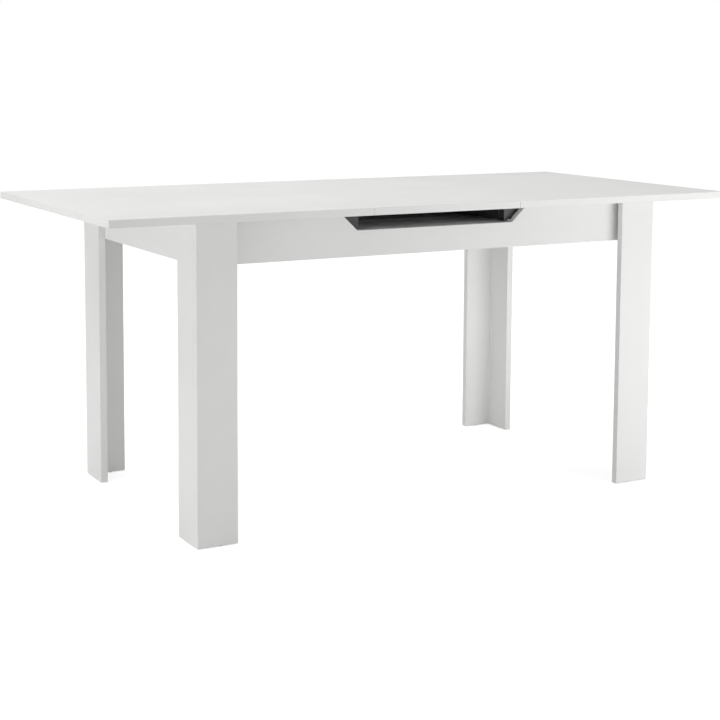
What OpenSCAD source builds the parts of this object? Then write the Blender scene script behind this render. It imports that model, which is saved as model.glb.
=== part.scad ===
// Extending dining table, shown extended with its folding centre leaf in place.
// X runs along the table, -Y is the side with the leaf slot, +Z is up, the floor is z = 0.

/* [Overall] */
// Length of the table with the leaf stored
closed_len = 1300; // [1300:10:1700]
// Length that the centre leaf adds
leaf_len = 410; // [340:2:410]
// Width of the table
table_w = 800; // [720:10:1000]
// Height of the table surface above the floor
table_h = 760; // [700:5:960]

/* [Boards] */
// Thickness of every board of the top, legs and frame
board_t = 18; // [16:1:22]
// Thickness of the edging strips round the boards of the top
edging_t = 1; // [0.6:0.2:2]
// Thickness of the tray board under the stored leaf
tray_t = 16; // [12:1:19]

/* [Frame] */
// How far the legs stand in from the ends of the closed top
inset_x = 8; // [6:1:40]
// How far the legs stand in from the long sides of the top
inset_y = 28; // [6:1:40]
// Gap between the frame and the underside of the top
top_gap = 2; // [1.9:0.1:3]
// Height of the four aprons
apron_h = 100; // [95:1:130]
// How far the long aprons stand behind the outer faces of the legs
apron_set = 28; // [24:1:34]
// Thickness of the cross rails and the hinge rail
rail_t = 18; // [16:1:20]

/* [Legs] */
// Width of the leg boards that face the long sides
leg_face_w = 100; // [80:1:130]
// Width of the legs as seen from the ends of the table
leg_side_w = 110; // [100:1:140]
// Height of the floor glides
glide_h = 2; // [2:0.5:6]

/* [Leaf slot] */
// Clearance at each end of the stored leaf at the bottom of the slot
slot_end_gap = 15.5; // [12:0.5:20]
// How much wider the slot is at its top than at its bottom, on each side
slot_flare = 40; // [30:1:50]
// Radius of the slot's bottom corners
slot_r = 10; // [4:1:14]
// Radius of the slot's top corners
slot_top_r = 30; // [10:1:36]

/* [Fits] */
// Gap between the leaf and the halves of the top
seam_gap = 0.5; // [0.4:0.1:1]
// Gap between the two halves of the leaf
fold_gap = 0.4; // [0.3:0.1:0.8]
// Gap between the stored leaf and the pads under it
store_gap = 0.5; // [0.4:0.1:1.5]
// Sliding clearance in the runners
slide_gap = 0.3; // [0.2:0.05:0.6]
// Running clearance round pins and pivots
pin_gap = 0.05; // [0.03:0.01:0.1]
// Clearance round dowels, bolts and barrels in their holes
seat_gap = 0.05; // [0.02:0.01:0.2]

/* [Runners] */
// How far the halves slide out past the leaf
over_travel = 20; // [10:1:24]
// Depth of the runner channel
runner_d = 14; // [12:1:16]
// Height of the runner channel
runner_h = 32; // [28:1:34]
// Wall of the runner channel and of the carriage angles
steel_t = 2; // [1.5:0.1:2]
// Length of a carriage
carriage_len = 168; // [120:1:168]
// Length of a nylon shoe
shoe_len = 42; // [25:1:55]

/* [Hinges] */
// Distance of the flip hinges from the ends of the leaf
flip_inset = 55; // [30:5:90]
// Length of a flip hinge
flip_len = 44; // [36:1:56]
// Radius of a flip hinge's knuckle
knuckle_r = 2.5; // [2.2:0.1:3]
// Radius of a flip hinge's pin
pin_r = 1.2; // [0.9:0.1:1.4]
// Distance of the outer fold hinges from the ends of the leaf
fold_inset = 105; // [90:5:140]
// Radius of a fold hinge's barrel
barrel_r = 6; // [5.5:0.1:6.2]
// Depth of a fold hinge's barrel
barrel_d = 12; // [11:0.5:16]

/* [Catches] */
// Length of a swivel catch from its pivot
catch_reach = 48; // [40:1:60]
// Width of a swivel catch
catch_w = 16; // [12:1:24]
// Thickness of a swivel catch
catch_t = 1.2; // [0.8:0.1:1.3]

/* [Fasteners] */
// Radius of a wooden dowel
dowel_r = 4; // [3:0.5:4]
// Length of a wooden dowel
dowel_len = 30; // [25:1:34]
// Radius of a cam lock
cam_r = 7.5; // [6:0.5:8]
// Depth of a cam lock
cam_d = 12; // [10:0.5:13]
// Radius of a wood screw's shank
screw_r = 1.75; // [1.5:0.05:2]
// Radius of a wood screw's head
head_r = 3.6; // [3:0.1:4]

/* [Hidden] */
$fn = 48;

past = 1;                                         // how far a cut runs past a face

// Heights
under = table_h - board_t;
frame_top = under - top_gap;
apron_low = frame_top - apron_h;
axis_drop = 1.5;                                  // flip axis below the underside of the top
flip_z = under - axis_drop;
stack_low = under - 2 * axis_drop - 2 * board_t;  // underside of the stored leaf
pad_t = 1;
tray_top = stack_low - store_gap - pad_t;
slot_sill = 1;                                    // stored leaf above the bottom of the slot
slot_floor = stack_low - slot_sill;

// Plan
half_leaf = leaf_len / 2;
top_len = closed_len / 2;
leg_x = closed_len / 2 - inset_x;                 // outer face of the leg side boards
leg_y = table_w / 2 - inset_y;                    // outer face of the leg face boards
side_in = leg_x - board_t;
apron_out = leg_y - apron_set;
apron_in = apron_out - board_t;
end_in = side_in - board_t;                       // inner face of the end aprons
slot_half = half_leaf - seam_gap + slot_end_gap;
rail_set = 2;
rail_x = slot_half + rail_set;                    // inner faces of the cross rails
rail_h = 42;
hinge_rail_y = 9;

// Runners
runner_gap = 2;                                   // runners below the top of the frame and clear of the leaf
runner_top = frame_top - runner_gap;
runner_low = runner_top - runner_h;
runner_in = half_leaf + runner_gap;
end_clear = 6;
carriage_out = end_in - over_travel - end_clear;  // outer end of a carriage with the leaf in place
carriage_in = carriage_out - carriage_len;
stop_x = carriage_out + over_travel + slide_gap;
runner_out = stop_x + steel_t;
web_y = apron_in - runner_d - steel_t;            // outer face of a carriage's upright wall
carriage_lift = 8;                                // carriages above the bottom of the runners
flange_w = 30;
wall_gap = 2;
wall_y = web_y - flange_w - wall_gap;             // half length of the cross rails' upper part

// Hinges
flip_x = half_leaf - flip_inset;
fold_x = half_leaf - fold_inset;
plate_gap = 0.1;                                  // each plate from the plane of the axis
plate_t = axis_drop - plate_gap;
plate_w = 27;
relief = 0.7;
knuckle_gap = 0.3;
centre_len = flip_len / 3;
barrel_cover = 3;
barrel_z = table_h - barrel_cover - barrel_r;
link_in = 5;
link_out = 8;
link_t = 3;
link_cover = 3.7;                                 // depth of the links under the surface
link_gap = 0.3;
fold_places = [-fold_x, 0, fold_x];

// Catches
catch_set = 23;                                   // pivots beside the seams
catch_x = half_leaf + catch_set;
catch_in = 26;
catch_y = apron_in - catch_in;
catch_gap = 0.2;
catch_top = under - catch_gap;
pivot_r = 2.5;
pivot_depth = 12;
pivot_head_r = 5;
pivot_head_t = 1;
pivot_gap = 0.1;

// Frame joints
cam_back = 34;                                    // cam lock from the joint face
cam_z = apron_low + 50;
apron_dowels = [apron_low + 20, apron_low + 82];
leg_dowels = [60, 370, apron_low + 65];
leg_cams = [215, 560];
bolt_r = 3;
bolt_head_r = 5.4;
bolt_head_t = 2;
cap_t = 0.8;
cap_rim = 1;
block_s = 32;
block_low = apron_low + 4;
block_h = 34;
runner_screw_x = [runner_in + 60, runner_out - 130];
head_t = 1.2;
head_lap = 0.1;                                   // how far a shank runs into its head
bite = 12;                                        // depth of a screw in the piece it holds
long_bite = 14;
block_grip = 4;                                   // corner screws' heads inside the blocks
cross_bite = 22;                                  // cross rails' screws back from the aprons
tray_bite = 16;
tip_gap = 0.5;                                    // room beyond the end of a barrel or a pivot

function unit(v) = v / norm(v);
function turn(a) = a > 180 ? a - 360 : a < -180 ? a + 360 : a;
// Points of an arc of radius r that rounds the corner b between a and c
function rounded(a, b, c, r, steps = 8) =
    let (u = unit(a - b), w = unit(c - b), half = acos(u * w) / 2,
        mid = b + unit(u + w) * r / sin(half),
        from = b + u * r / tan(half) - mid, to = b + w * r / tan(half) - mid,
        first = atan2(from[1], from[0]), sweep = turn(atan2(to[1], to[0]) - first))
    [for (i = [0:steps]) mid + r * [cos(first + sweep * i / steps), sin(first + sweep * i / steps)]];
function backwards(list) = [for (i = [len(list) - 1:-1:0]) list[i]];

// Mirrors the children to the left (side = -1) or leaves them on the right (side = 1)
module on_side(side) mirror([side < 0 ? 1 : 0, 0, 0]) children();
// Mirrors the children to the front (end = -1) or leaves them at the rear (end = 1)
module on_end(end) mirror([0, end < 0 ? 1 : 0, 0]) children();
module both_sides() for (side = [-1, 1]) on_side(side) children();
module both_ends() for (end = [-1, 1]) on_end(end) children();

module block(low, high) translate(low) cube(high - low);
module rod_x(r, from, to, y, z) translate([from, y, z]) rotate([0, 90, 0]) cylinder(r = r, h = to - from);
module rod_y(r, from, to, x, z) translate([x, to, z]) rotate([90, 0, 0]) cylinder(r = r, h = to - from);
module rod_z(r, from, to, x, y) translate([x, y, from]) cylinder(r = r, h = to - from);

// Top

// Strip of the given thickness all round the box from low to high
module edge_ring(low, high, wall) {
    difference() {
        block(low, high);
        block(low + [wall, wall, -past], high + [-wall, -wall, past]);
    }
}

half_low = [half_leaf, -table_w / 2, under];
half_high = [half_leaf + top_len, table_w / 2, table_h];

// Groove that lets a closing half pass over the flip hinges' knuckles
module knuckle_groove() {
    width = knuckle_r + relief;
    block([half_leaf - past, -width, under - past],
        [2 * half_leaf + flip_len / 2, width, flip_z + knuckle_r + relief]);
}

module half_board() {
    difference() {
        block(half_low + [edging_t, edging_t, 0], half_high - [edging_t, edging_t, 0]);
        knuckle_groove();
        carriage_screw_shape(seat_gap);
        rod_z(pivot_r + seat_gap, under - past, under + pivot_depth + tip_gap, catch_x, -catch_y);
    }
}

module half_edging() {
    difference() {
        edge_ring(half_low, half_high, edging_t);
        knuckle_groove();
    }
}

leaf_low = [-half_leaf + seam_gap, fold_gap / 2, under];
leaf_high = [half_leaf - seam_gap, table_w / 2, table_h];

// Bores for the fold hinges' barrels and the relief round the flip hinges' knuckles
module leaf_cuts() {
    for (x = fold_places) rod_y(barrel_r + seat_gap, -past, barrel_d + tip_gap, x, barrel_z);
    for (x = [-flip_x, flip_x])
        rod_x(knuckle_r + relief, x - flip_len / 2 - past, x + flip_len / 2 + past, 0, flip_z);
}

module leaf_board() {
    difference() {
        block(leaf_low + [edging_t, edging_t, 0], leaf_high - [edging_t, edging_t, 0]);
        leaf_cuts();
    }
}

module leaf_edging() {
    difference() {
        edge_ring(leaf_low, leaf_high, edging_t);
        leaf_cuts();
    }
}

module left_top() color("white") on_side(-1) half_board();
module right_top() color("white") half_board();
module left_top_edging() color("whitesmoke") on_side(-1) half_edging();
module right_top_edging() color("whitesmoke") half_edging();
module leaf_rear() {
    color("white") difference() {
        leaf_board();
        flip_screw_shape(seat_gap, 1);
    }
}
module leaf_front() color("white") on_end(-1) leaf_board();
module leaf_rear_edging() color("whitesmoke") leaf_edging();
module leaf_front_edging() color("whitesmoke") on_end(-1) leaf_edging();

// Legs, drawn at the rear right and mirrored to the other corners

module leg_face() {
    difference() {
        block([leg_x - leg_face_w, leg_y - board_t, glide_h], [leg_x, leg_y, frame_top]);
        joint_holes();
        glide_shape(seat_gap);
    }
}

module leg_side() {
    difference() {
        block([side_in, leg_y - leg_side_w, glide_h], [leg_x, leg_y - board_t, frame_top]);
        joint_holes();
        end_bolt_shape(seat_gap);
        glide_shape(seat_gap);
    }
}

module leg(side, end) color("white") on_side(side) on_end(end) children();
module leg_front_left_face() leg(-1, -1) leg_face();
module leg_front_left_side() leg(-1, -1) leg_side();
module leg_front_right_face() leg(1, -1) leg_face();
module leg_front_right_side() leg(1, -1) leg_side();
module leg_rear_left_face() leg(-1, 1) leg_face();
module leg_rear_left_side() leg(-1, 1) leg_side();
module leg_rear_right_face() leg(1, 1) leg_face();
module leg_rear_right_side() leg(1, 1) leg_side();

// Knock-down joints at one corner

seam_y = leg_y - board_t;                         // joint between a leg's two boards
joint_x = side_in + board_t / 2;
joint_y = apron_in + board_t / 2;
sunk = 10;                                        // depth of dowels and bolts in the first board

// Dowels between the leg boards and between the long apron and the leg
module dowel_shape(gap) {
    for (z = leg_dowels)
        rod_y(dowel_r + gap, seam_y + sunk - dowel_len - gap, seam_y + sunk + gap, joint_x, z);
    for (z = apron_dowels)
        rod_x(dowel_r + gap, side_in + sunk - dowel_len - gap, side_in + sunk + gap, joint_y, z);
}

module cam_shape(gap) {
    for (z = leg_cams) rod_x(cam_r + gap, side_in, side_in + cam_d + gap, seam_y - cam_back, z);
    rod_y(cam_r + gap, apron_in, apron_in + cam_d + gap, side_in - cam_back, cam_z);
}

module cam_bolt_shape(gap) {
    for (z = leg_cams) rod_y(bolt_r + gap, seam_y - cam_back + cam_r, seam_y + sunk + gap, joint_x, z);
    rod_x(bolt_r + gap, side_in - cam_back + cam_r, side_in + sunk + gap, joint_y, cam_z);
}

module joint_holes() {
    dowel_shape(seat_gap);
    cam_shape(seat_gap);
    cam_bolt_shape(seat_gap);
}

end_bolt_places = [apron_low + 25, apron_low + 75];
end_bolt_gap = 10;
end_bolt_y = apron_in - block_s - end_bolt_gap;
// Bolts from the inside of an end apron into the leg's side board
module end_bolt_shape(gap) {
    for (z = end_bolt_places)
        rod_x(bolt_r + gap, end_in - gap, side_in + sunk + gap, end_bolt_y, z);
}

// Frame

module long_apron() {
    block([-side_in, apron_in, apron_low], [side_in, apron_out, frame_top]);
}

// Outline of the slot in X and Z, wider towards the top and rounded at its corners
function slot_outline() =
    let (top = slot_half + slot_flare, over = frame_top + past,
        low = [slot_half, slot_floor], high = [top, frame_top],
        foot = rounded([0, slot_floor], low, high, slot_r),
        lip = rounded(low, high, [top + 100, frame_top], slot_top_r),
        right = concat(foot, lip, [[lip[len(lip) - 1][0], over]]))
    concat(right, [for (p = backwards(right)) [-p[0], p[1]]]);

module leaf_slot() {
    translate([0, apron_out + past, 0]) rotate([90, 0, 0])
        linear_extrude(height = board_t + 2 * past) polygon(slot_outline());
}

module apron_holes() {
    both_sides() {
        joint_holes();
        runner_screw_shape(seat_gap);
        frame_screw_shape(seat_gap);
    }
}

module front_apron() {
    color("white") on_end(-1) difference() {
        long_apron();
        leaf_slot();
        apron_holes();
    }
}

module rear_apron() {
    color("white") difference() {
        long_apron();
        apron_holes();
    }
}

module end_apron() {
    difference() {
        block([end_in, -apron_in, apron_low], [side_in, apron_in, frame_top]);
        both_ends() {
            end_bolt_shape(seat_gap);
            frame_screw_shape(seat_gap);
        }
    }
}
module left_apron() color("white") on_side(-1) end_apron();
module right_apron() color("white") end_apron();

// Side wall of the leaf compartment, cut down at its ends to pass under the runners
module cross_rail() {
    difference() {
        union() {
            block([rail_x, -apron_in, tray_top - rail_h], [rail_x + rail_t, apron_in, tray_top]);
            block([rail_x, -wall_y, tray_top - rail_h], [rail_x + rail_t, wall_y, runner_top]);
        }
        both_ends() frame_screw_shape(seat_gap);
        tray_screw_shape(seat_gap);
    }
}
module left_cross_rail() color("dimgray") on_side(-1) cross_rail();
module right_cross_rail() color("dimgray") cross_rail();

module hinge_rail() {
    color("darkgray") difference() {
        block([-rail_x, hinge_rail_y, tray_top - rail_h],
            [rail_x, hinge_rail_y + rail_t, flip_z - axis_drop]);
        both_sides() tray_screw_shape(seat_gap);
        flip_screw_shape(seat_gap, -1);
    }
}

module tray() {
    color("darkgray") difference() {
        block([-rail_x, -apron_in, tray_top - tray_t], [rail_x, hinge_rail_y, tray_top]);
        both_sides() tray_screw_shape(seat_gap);
    }
}

tray_pad_w = 20;
tray_pad_inset = 25;
module tray_pads() {
    color("gray") for (y = [-apron_in + 16, -apron_in / 2, -30])
        block([-half_leaf + tray_pad_inset, y - tray_pad_w / 2, tray_top],
            [half_leaf - tray_pad_inset, y + tray_pad_w / 2, tray_top + pad_t]);
}

module corner_blocks() {
    color("burlywood") both_sides() both_ends() difference() {
        block([end_in - block_s, apron_in - block_s, block_low], [end_in, apron_in, block_low + block_h]);
        frame_screw_shape(seat_gap);
    }
}

// Nylon strips on the frame that carry the top
strip_len = 40;
strip_w = 12;
strip_gap = 0.3;
strip_set = 50;                                   // strips beside the slot
strip_end = 60;                                   // strips near the end aprons
module pad_strip(x, y, along_x) {
    size = along_x ? [strip_len, strip_w] : [strip_w, strip_len];
    translate([x - size[0] / 2, y - size[1] / 2, frame_top])
        cube([size[0], size[1], top_gap - strip_gap]);
}

module frame_pads() {
    color("gainsboro") {
        both_sides() {
            both_ends() {
                pad_strip(slot_half + slot_flare + strip_set, joint_y, true);
                pad_strip(end_in - strip_end, joint_y, true);
                pad_strip(end_in + board_t / 2, table_w / 4, false);
            }
            pad_strip(half_leaf / 2, joint_y, true);
        }
    }
}

glide_r = 7;
nail_r = 2;
nail_len = 12;
// A glide under each board of a leg, with its nail
module glide_shape(gap) {
    places = [[leg_x - leg_face_w / 2 - 10, leg_y - board_t / 2], [joint_x, leg_y - leg_side_w / 2 - 16]];
    for (p = places) {
        rod_z(glide_r + gap, 0, glide_h, p[0], p[1]);
        rod_z(nail_r + gap, glide_h - 1, glide_h + nail_len + gap, p[0], p[1]);
    }
}
module floor_glides() color("lightgray") both_sides() both_ends() glide_shape(0);

// Runners and carriages, drawn at the rear right

module runner() {
    difference() {
        block([runner_in, apron_in - runner_d, runner_low], [runner_out, apron_in, runner_top]);
        block([runner_in - past, apron_in - runner_d - past, runner_low + steel_t],
            [stop_x, apron_in - steel_t, runner_top - steel_t]);
        runner_screw_shape(seat_gap);
    }
}
module front_left_runner() color("black") on_side(-1) on_end(-1) runner();
module front_right_runner() color("black") on_end(-1) runner();
module rear_left_runner() color("black") on_side(-1) runner();
module rear_right_runner() color("black") runner();

module carriage() {
    difference() {
        union() {
            block([carriage_in, web_y - steel_t, runner_low + carriage_lift], [carriage_out, web_y, under]);
            block([carriage_in, web_y - flange_w, under - steel_t], [carriage_out, web_y, under]);
        }
        carriage_screw_shape(seat_gap);
    }
}

// Nylon shoes on the back of a carriage, which ride in the channel
module shoes() {
    for (x = [carriage_out - shoe_len, carriage_in])
        block([x, web_y, runner_low + steel_t + slide_gap],
            [x + shoe_len, apron_in - steel_t - slide_gap, runner_top - steel_t - slide_gap]);
}
module left_carriages() color("black") on_side(-1) both_ends() carriage();
module right_carriages() color("black") both_ends() carriage();
module left_shoes() color("lightgray") on_side(-1) both_ends() shoes();
module right_shoes() color("lightgray") both_ends() shoes();

// Screws: a shank with a low head, and gap widens both for their hole

carriage_screws = 4;
module carriage_screw_shape(gap) {
    step = carriage_len / carriage_screws;
    y = web_y - flange_w / 2 - steel_t;
    plate = under - steel_t;
    both_ends() for (x = [carriage_in + step / 2:step:carriage_out]) {
        rod_z(head_r + gap, plate - head_t, plate, x, y);
        rod_z(screw_r + gap, plate - head_lap, plate + long_bite + gap, x, y);
    }
}
module left_carriage_screws() color("silver") on_side(-1) carriage_screw_shape(0);
module right_carriage_screws() color("silver") carriage_screw_shape(0);

// Flush screws through the back of a runner into the apron, clear of the shoes
module runner_screw_shape(gap) {
    face = apron_in - steel_t;
    for (x = runner_screw_x) {
        rod_y(head_r + gap, face, face + head_t, x, (runner_low + runner_top) / 2);
        rod_y(screw_r + gap, face, face + long_bite + gap, x, (runner_low + runner_top) / 2);
    }
}
module runner_screws() color("silver") both_sides() both_ends() runner_screw_shape(0);

// Screws that hold the corner blocks and the cross rails to the aprons
module frame_screw_shape(gap) {
    block_mid = block_low + block_h / 2;
    head = block_s - block_grip;
    rod_y(screw_r + gap, apron_in - head, apron_in + bite + gap, end_in - block_s / 2, block_mid + 6);
    rod_x(screw_r + gap, end_in - head, end_in + bite + gap, apron_in - block_s / 2, block_mid - 6);
    rod_y(screw_r + gap, apron_in - cross_bite, apron_in + bite + gap, rail_x + rail_t / 2,
        tray_top - rail_h / 2);
}

// Screws through a cross rail into the tray and the hinge rail
module tray_screw_shape(gap) {
    places = [[-apron_in + 60, tray_top - tray_t / 2], [-60, tray_top - tray_t / 2],
        [hinge_rail_y + rail_t / 2, tray_top - rail_h + 12]];
    for (p = places) {
        rod_x(screw_r + gap, rail_x - tray_bite - gap, rail_x + rail_t + head_lap, p[0], p[1]);
        rod_x(head_r + gap, rail_x + rail_t, rail_x + rail_t + head_t, p[0], p[1]);
    }
}

module frame_screws() {
    color("silver") both_sides() {
        both_ends() frame_screw_shape(0);
        tray_screw_shape(0);
        both_ends() for (z = end_bolt_places)
            rod_x(bolt_head_r, end_in - bolt_head_t, end_in, end_bolt_y, z);
        both_ends() end_bolt_shape(0);
    }
}

// Flip hinges between the hinge rail and the rear half of the leaf

// Lower face of a plate above the axis (up = 1) or below it (up = -1)
function plate_low(up) = flip_z + (up > 0 ? plate_gap : -plate_gap - plate_t);

// One knuckle run from -> to with the tongue that joins it to its plate (up = 1 moving, -1 fixed)
module knuckle(from, to, up) {
    rod_x(knuckle_r, from, to, 0, flip_z);
    block([from, 0, plate_low(up)], [to, knuckle_r + relief, plate_low(up) + plate_t]);
}

module flip_plate(up) {
    block([-flip_len / 2, knuckle_r + relief, plate_low(up)],
        [flip_len / 2, plate_w, plate_low(up) + plate_t]);
}

module flip_leaf(up) {
    for (x = [-flip_x, flip_x]) translate([x, 0, 0]) difference() {
        union() {
            flip_plate(up);
            if (up > 0) {
                knuckle(-flip_len / 2, -centre_len / 2 - knuckle_gap, up);
                knuckle(centre_len / 2 + knuckle_gap, flip_len / 2, up);
            } else {
                knuckle(-centre_len / 2, centre_len / 2, up);
            }
        }
        rod_x(pin_r + pin_gap, -flip_len, flip_len, 0, flip_z);
        translate([-x, 0, 0]) flip_screw_shape(seat_gap, up);
    }
}

flip_screw_r = 1.5;
flip_head_r = 2.6;
flip_head_t = 0.8;
flip_bite = 13;
flip_screw_x = 14;
// Flush screws through the plates: up = 1 into the leaf, up = -1 into the hinge rail
module flip_screw_shape(gap, up) {
    open = flip_z + up * plate_gap;
    for (x = [-flip_x, flip_x], dx = [-flip_screw_x, flip_screw_x]) {
        translate([x + dx, hinge_rail_y + rail_t / 2, open]) mirror([0, 0, up > 0 ? 0 : 1]) {
            cylinder(r = flip_head_r + gap, h = flip_head_t);
            cylinder(r = flip_screw_r + gap, h = flip_bite + gap);
        }
    }
}
module flip_hinge_fixed() color("silver") flip_leaf(-1);
module flip_hinge_moving() color("silver") flip_leaf(1);
module flip_screws_fixed() color("silver") flip_screw_shape(0, -1);
module flip_screws_moving() color("silver") flip_screw_shape(0, 1);
module flip_hinge_pins() {
    color("gray") for (x = [-flip_x, flip_x])
        rod_x(pin_r, x - flip_len / 2, x + flip_len / 2, 0, flip_z);
}

// Fold hinges between the two halves of the leaf

// Curved link about the fold line, which lies in the surface; gap widens it for its slot
module link_shape(gap) {
    for (x = fold_places) translate([x, 0, table_h]) intersection() {
        difference() {
            rod_x(link_out + gap, -link_t / 2 - gap, link_t / 2 + gap, 0, 0);
            rod_x(link_in - gap, -link_t, link_t, 0, 0);
        }
        block([-link_t, -barrel_d, -barrel_d], [link_t, barrel_d, -link_cover + gap]);
    }
}

module barrels(gap) {
    difference() {
        for (x = fold_places) rod_y(barrel_r, fold_gap / 2, barrel_d, x, barrel_z);
        link_shape(gap);
    }
}
module fold_barrels_rear() color("dimgray") barrels(0);
module fold_barrels_front() color("dimgray") on_end(-1) barrels(link_gap);
module fold_links() color("silver") link_shape(0);

// Swivel catches under the seams, drawn on the right

module catch() {
    difference() {
        union() {
            rod_z(catch_w / 2, catch_top - catch_t, catch_top, catch_x, -catch_y);
            block([catch_x - catch_w / 2, -catch_y, catch_top - catch_t],
                [catch_x + catch_w / 2, -catch_y + catch_reach - catch_w / 2, catch_top]);
            rod_z(catch_w / 2, catch_top - catch_t, catch_top, catch_x, -catch_y + catch_reach - catch_w / 2);
        }
        rod_z(pivot_r + pin_gap, catch_top - catch_t - past, catch_top + past, catch_x, -catch_y);
    }
}

module catch_pivot() {
    head_top = catch_top - catch_t - pivot_gap;
    rod_z(pivot_head_r, head_top - pivot_head_t, head_top, catch_x, -catch_y);
    rod_z(pivot_r, head_top - head_lap, under + pivot_depth, catch_x, -catch_y);
}
module catch_left() color("silver") on_side(-1) catch();
module catch_right() color("silver") catch();
module catch_pivot_left() color("gray") on_side(-1) catch_pivot();
module catch_pivot_right() color("gray") catch_pivot();

// Small hardware in the corners

module dowels() color("tan") both_sides() both_ends() dowel_shape(0);
module cam_locks() color("silver") both_sides() both_ends() cam_shape(0);
module cam_bolts() color("silver") both_sides() both_ends() cam_bolt_shape(0);
module cam_caps() {
    color("white") both_sides() both_ends() for (z = leg_cams)
        rod_x(cam_r + cap_rim, side_in - cap_t, side_in, seam_y - cam_back, z);
}

left_top();
left_top_edging();
right_top();
right_top_edging();
leaf_rear();
leaf_rear_edging();
leaf_front();
leaf_front_edging();
leg_front_left_face();
leg_front_left_side();
leg_front_right_face();
leg_front_right_side();
leg_rear_left_face();
leg_rear_left_side();
leg_rear_right_face();
leg_rear_right_side();
front_apron();
rear_apron();
left_apron();
right_apron();
left_cross_rail();
right_cross_rail();
hinge_rail();
tray();
tray_pads();
corner_blocks();
front_left_runner();
front_right_runner();
rear_left_runner();
rear_right_runner();
left_carriages();
right_carriages();
left_shoes();
right_shoes();
left_carriage_screws();
right_carriage_screws();
runner_screws();
flip_hinge_fixed();
flip_hinge_moving();
flip_hinge_pins();
flip_screws_fixed();
flip_screws_moving();
fold_barrels_rear();
fold_barrels_front();
fold_links();
catch_left();
catch_right();
catch_pivot_left();
catch_pivot_right();
frame_pads();
floor_glides();
dowels();
cam_locks();
cam_bolts();
cam_caps();
frame_screws();
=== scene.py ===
import bpy
import bmesh
import math
from mathutils import Matrix, Vector, Euler


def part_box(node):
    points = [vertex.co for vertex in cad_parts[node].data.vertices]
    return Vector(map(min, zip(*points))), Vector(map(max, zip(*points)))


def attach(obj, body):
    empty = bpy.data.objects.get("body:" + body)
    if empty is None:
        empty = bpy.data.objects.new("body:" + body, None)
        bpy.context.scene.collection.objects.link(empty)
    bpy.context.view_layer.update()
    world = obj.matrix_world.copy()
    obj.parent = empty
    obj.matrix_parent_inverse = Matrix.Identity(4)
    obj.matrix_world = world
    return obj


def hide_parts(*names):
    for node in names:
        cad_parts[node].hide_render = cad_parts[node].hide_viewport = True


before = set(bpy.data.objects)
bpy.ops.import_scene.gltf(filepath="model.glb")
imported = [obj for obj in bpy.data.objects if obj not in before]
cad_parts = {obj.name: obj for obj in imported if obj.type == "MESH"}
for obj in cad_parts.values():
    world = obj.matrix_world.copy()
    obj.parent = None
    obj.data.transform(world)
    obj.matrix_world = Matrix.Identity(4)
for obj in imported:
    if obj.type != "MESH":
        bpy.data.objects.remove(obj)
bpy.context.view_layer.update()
mm = 0.001

nodeGrid = (200, -160)          # one step right and one step down in the node editor


def addNode(tree, kind, place, **settings):
    node = tree.nodes.new(kind)
    node.location = (place[0] * nodeGrid[0], place[1] * nodeGrid[1])
    for name, value in settings.items():
        setattr(node, name, value)
    return node


# an underscore in a keyword stands for the space in the socket's name
def setInputs(node, **values):
    for name, value in values.items():
        node.inputs[name.replace("_", " ")].default_value = value


def newGroup(name, kind, inputs, outputs):
    group = bpy.data.node_groups.new(name, kind)
    for label, socketType, value in inputs:
        socket = group.interface.new_socket(name=label, in_out="INPUT", socket_type=socketType)
        if value is not None:
            socket.default_value = value
    for label, socketType in outputs:
        group.interface.new_socket(name=label, in_out="OUTPUT", socket_type=socketType)
    return group


# the fine pebbled press texture of melamine film, and the slow waviness under it
def buildFilmGrain():
    group = newGroup("filmGrain", "ShaderNodeTree",
        [("Vector", "NodeSocketVector", None), ("Pebble Scale", "NodeSocketFloat", 900.0),
         ("Wave Scale", "NodeSocketFloat", 5.0), ("Wave Share", "NodeSocketFloat", 0.35)],
        [("Height", "NodeSocketFloat"), ("Cloud", "NodeSocketFloat")])
    given = addNode(group, "NodeGroupInput", (0, 0))
    pebble = addNode(group, "ShaderNodeTexNoise", (1, 0))
    setInputs(pebble, Detail=2.0, Roughness=0.55)
    wave = addNode(group, "ShaderNodeTexNoise", (1, 1))
    setInputs(wave, Detail=3.0, Roughness=0.6)
    blend = addNode(group, "ShaderNodeMix", (2, 0), data_type="FLOAT")
    out = addNode(group, "NodeGroupOutput", (3, 0))
    link = group.links.new
    link(given.outputs["Vector"], pebble.inputs["Vector"])
    link(given.outputs["Pebble Scale"], pebble.inputs["Scale"])
    link(given.outputs["Vector"], wave.inputs["Vector"])
    link(given.outputs["Wave Scale"], wave.inputs["Scale"])
    link(given.outputs["Wave Share"], blend.inputs["Factor"])
    link(pebble.outputs["Fac"], blend.inputs["A"])
    link(wave.outputs["Fac"], blend.inputs["B"])
    link(blend.outputs["Result"], out.inputs["Height"])
    link(wave.outputs["Fac"], out.inputs["Cloud"])
    return group


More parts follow.
